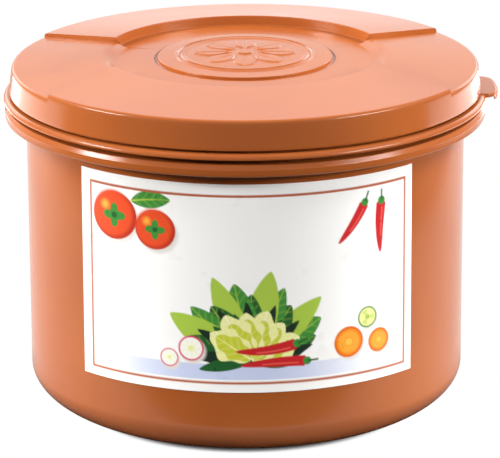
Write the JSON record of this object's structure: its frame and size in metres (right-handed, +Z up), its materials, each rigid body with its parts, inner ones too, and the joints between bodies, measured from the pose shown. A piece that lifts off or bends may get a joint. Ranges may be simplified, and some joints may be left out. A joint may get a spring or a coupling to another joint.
{
  "type": "kimchi container",
  "caption": "Round glossy storage pot with a press-on outer lid with a pull tab, a press-down inner lid with seal, fold-down handle and air valve, and a wrapped front label.",
  "frame": {"origin": "middle of the flat foot, on the surface that the pot stands on", "axes": "+Z up along the pot's axis, -Y faces the label, +X points to the outer lid's pull tab"},
  "size_m": [0.2021, 0.1972, 0.1493],
  "materials": {
    "clay_polypropylene": "glossy injection-moulded polypropylene",
    "ivory_silicone": "soft moulded silicone",
    "printed_film": "printed film with a satin coat"
  },
  "bodies": {
    "pot": {"pot_body": "clay_polypropylene", "front_label": "printed_film"},
    "outer_lid": {"outer_lid": "clay_polypropylene"},
    "inner_lid": {"inner_lid": "clay_polypropylene", "inner_lid_seal": "ivory_silicone"},
    "handle": {"inner_lid_handle": "clay_polypropylene"},
    "valve_plug": {"valve_plug": "ivory_silicone"}
  },
  "joints": [
    {"name": "outer_lid_lift", "type": "slide", "parent": "pot", "child": "outer_lid", "axis": [0, 0, 1], "range_m": [0, 0.05]},
    {"name": "inner_lid_press", "type": "slide", "parent": "pot", "child": "inner_lid", "axis": [0, 0, 1], "range_m": [-0.082, 0]},
    {"name": "handle_hinge", "type": "hinge", "parent": "inner_lid", "child": "handle", "pos_m": [0, 0, 0.1106], "axis": [1, 0, 0], "range_deg": [0, 90]},
    {"name": "valve_plug_pull", "type": "slide", "parent": "inner_lid", "child": "valve_plug", "axis": [0, 0, 1], "range_m": [0, 0.01]}
  ]
}
